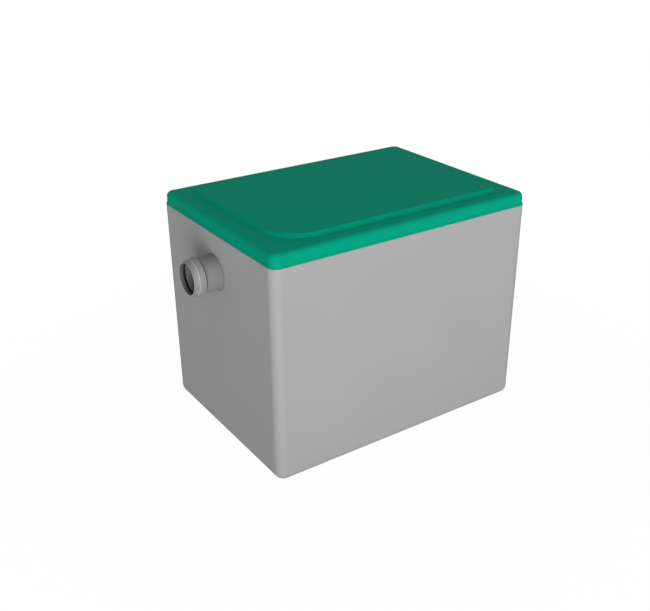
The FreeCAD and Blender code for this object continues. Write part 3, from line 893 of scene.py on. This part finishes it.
def sun(name, toward, strength, angle, mirrored=True):
    """A lamp that shines from the direction given, and is mirrored in glossy surfaces or not."""
    lamp = bpy.data.lights.new(name, "SUN")
    lamp.energy = strength
    lamp.angle = angle
    made = bpy.data.objects.new(name, lamp)
    made.rotation_euler = Vector(toward).to_track_quat("Z", "Y").to_euler()
    made.visible_glossy = mirrored
    bpy.context.scene.collection.objects.link(made)


def panel_lamp(name, point, power, size):
    """A square lamp that hangs at a point, shines at the middle of the tank and isn't seen."""
    lamp = bpy.data.lights.new(name, "AREA")
    lamp.energy = power
    lamp.size = size
    made = bpy.data.objects.new(name, lamp)
    made.location = point
    away = Vector(point) - Vector((0, 0, RIM / 2))
    made.rotation_euler = away.to_track_quat("Z", "Y").to_euler()
    made.visible_camera = False
    bpy.context.scene.collection.objects.link(made)


def floor_material(base, stage):
    """Pale floor: it bounces light as its colour, and the camera sees it mixed with white."""
    material, tree, shader = new_material("pale_floor")
    link = tree.links.new
    shader.inputs["Base Color"].default_value = (*base, 1)
    shader.inputs["Roughness"].default_value = 0.9
    shader.inputs["Specular IOR Level"].default_value = 0
    white = add_node(tree, "ShaderNodeEmission", Color=WHITE)
    path = add_node(tree, "ShaderNodeLightPath")
    where = add_node(tree, "ShaderNodeTexCoord")
    far = add_node(tree, "ShaderNodeVectorMath", operation="LENGTH")
    fade = add_node(
        tree, "ShaderNodeMapRange", From_Min=stage.fade_start, From_Max=stage.fade_end,
        To_Min=stage.floor_white, To_Max=1,
    )
    share = add_node(tree, "ShaderNodeMath", operation="MULTIPLY")
    mix = add_node(tree, "ShaderNodeMixShader")
    link(where.outputs["Object"], far.inputs[0])
    link(far.outputs["Value"], fade.inputs["Value"])
    link(path.outputs["Is Camera Ray"], share.inputs[0])
    link(fade.outputs["Result"], share.inputs[1])
    link(share.outputs["Value"], mix.inputs["Fac"])
    link(shader.outputs["BSDF"], mix.inputs[1])
    link(white.outputs["Emission"], mix.inputs[2])
    link(mix.outputs["Shader"], tree.nodes["Material Output"].inputs["Surface"])
    return material


def pale_world(ambient):
    """White to the camera, and a plain even light to everything else."""
    world = bpy.data.worlds.new("studio")
    world.use_nodes = True
    tree = world.node_tree
    link = tree.links.new
    lit = tree.nodes["Background"]
    lit.inputs["Color"].default_value = WHITE
    lit.inputs["Strength"].default_value = ambient
    seen = add_node(tree, "ShaderNodeBackground", Color=WHITE, Strength=1)
    path = add_node(tree, "ShaderNodeLightPath")
    mix = add_node(tree, "ShaderNodeMixShader")
    link(path.outputs["Is Camera Ray"], mix.inputs["Fac"])
    link(lit.outputs["Background"], mix.inputs[1])
    link(seen.outputs["Background"], mix.inputs[2])
    link(mix.outputs["Shader"], tree.nodes["World Output"].inputs["Surface"])
    bpy.context.scene.world = world


def add_floor(stage, base):
    """The disc that the trap stands on."""
    bm = bmesh.new()
    bmesh.ops.create_circle(bm, cap_ends=True, segments=TURN_STEPS, radius=stage.floor_radius)
    mesh = bpy.data.meshes.new("floor")
    bm.to_mesh(mesh)
    bm.free()
    floor = bpy.data.objects.new("floor", mesh)
    bpy.context.scene.collection.objects.link(floor)
    mesh.materials.append(floor_material(base, stage))
    floor.visible_shadow = False


def add_camera(stage):
    """The camera, where the photo was taken from."""
    data = bpy.data.cameras.new("camera")
    data.sensor_width = SENSOR
    data.lens = stage.camera_lens
    data.shift_x, data.shift_y = stage.camera_shift
    camera = bpy.data.objects.new("camera", data)
    camera.location = stage.camera_place
    camera.rotation_euler = (math.pi / 2 - stage.camera_pitch, 0, -stage.camera_yaw)
    bpy.context.scene.collection.objects.link(camera)
    bpy.context.scene.camera = camera


class TRAP_OT_stage(bpy.types.Operator):
    """Builds the floor, the lamps, the world and the camera"""

    bl_idname = "trap.stage"
    bl_label = "Stage"

    def execute(self, context):
        stage = context.scene.trap_stage
        add_floor(stage, context.scene.trap_colours.floor)
        sun("key", stage.key_from, stage.key, stage.key_angle)
        panel_lamp("front", stage.front_place, stage.front, stage.front_size)
        sun("fill_outlet", stage.fill_outlet, stage.fill, stage.fill_angle, mirrored=False)
        sun("fill_back", stage.fill_back, stage.fill, stage.fill_angle, mirrored=False)
        pale_world(stage.ambient)
        context.scene.view_settings.view_transform = "Standard"
        add_camera(stage)
        return {"FINISHED"}


class TRAP_PT_panel(bpy.types.Panel):
    """Sizes, colours and the pieces of the trap"""

    bl_idname = "TRAP_PT_panel"
    bl_label = "Grease trap"
    bl_space_type = "VIEW_3D"
    bl_region_type = "UI"
    bl_category = "Trap"

    def draw(self, context):
        for name, (kind, label) in PROPERTY_GROUPS.items():
            box = self.layout.box()
            box.label(text=label)
            group = getattr(context.scene, name)
            for prop in kind.__annotations__:
                box.prop(group, prop)
        for operator in OPERATORS:
            self.layout.operator(operator.bl_idname)


PROPERTY_GROUPS = {
    "trap_tank": (TrapTankSizes, "Tank"),
    "trap_lid": (TrapLidSizes, "Lid"),
    "trap_fittings": (TrapFittingSizes, "Fittings"),
    "trap_colours": (TrapColours, "Colours"),
    "trap_stage": (TrapStage, "Stage"),
}
OPERATORS = (
    TRAP_OT_tank, TRAP_OT_lid, TRAP_OT_sockets, TRAP_OT_pipes, TRAP_OT_baffles, TRAP_OT_stage,
)


def register():
    for name, (kind, _) in PROPERTY_GROUPS.items():
        bpy.utils.register_class(kind)
        setattr(bpy.types.Scene, name, bpy.props.PointerProperty(type=kind))
    for kind in (*OPERATORS, TRAP_PT_panel):
        bpy.utils.register_class(kind)


def unregister():
    for kind in (TRAP_PT_panel, *OPERATORS[::-1]):
        bpy.utils.unregister_class(kind)
    for name, (kind, _) in PROPERTY_GROUPS.items():
        delattr(bpy.types.Scene, name)
        bpy.utils.unregister_class(kind)


def main():
    register()
    bpy.ops.trap.tank()
    bpy.ops.trap.lid()
    bpy.ops.trap.sockets()
    bpy.ops.trap.pipes()
    bpy.ops.trap.baffles()
    bpy.ops.trap.stage()


if __name__ == "__main__":
    main()
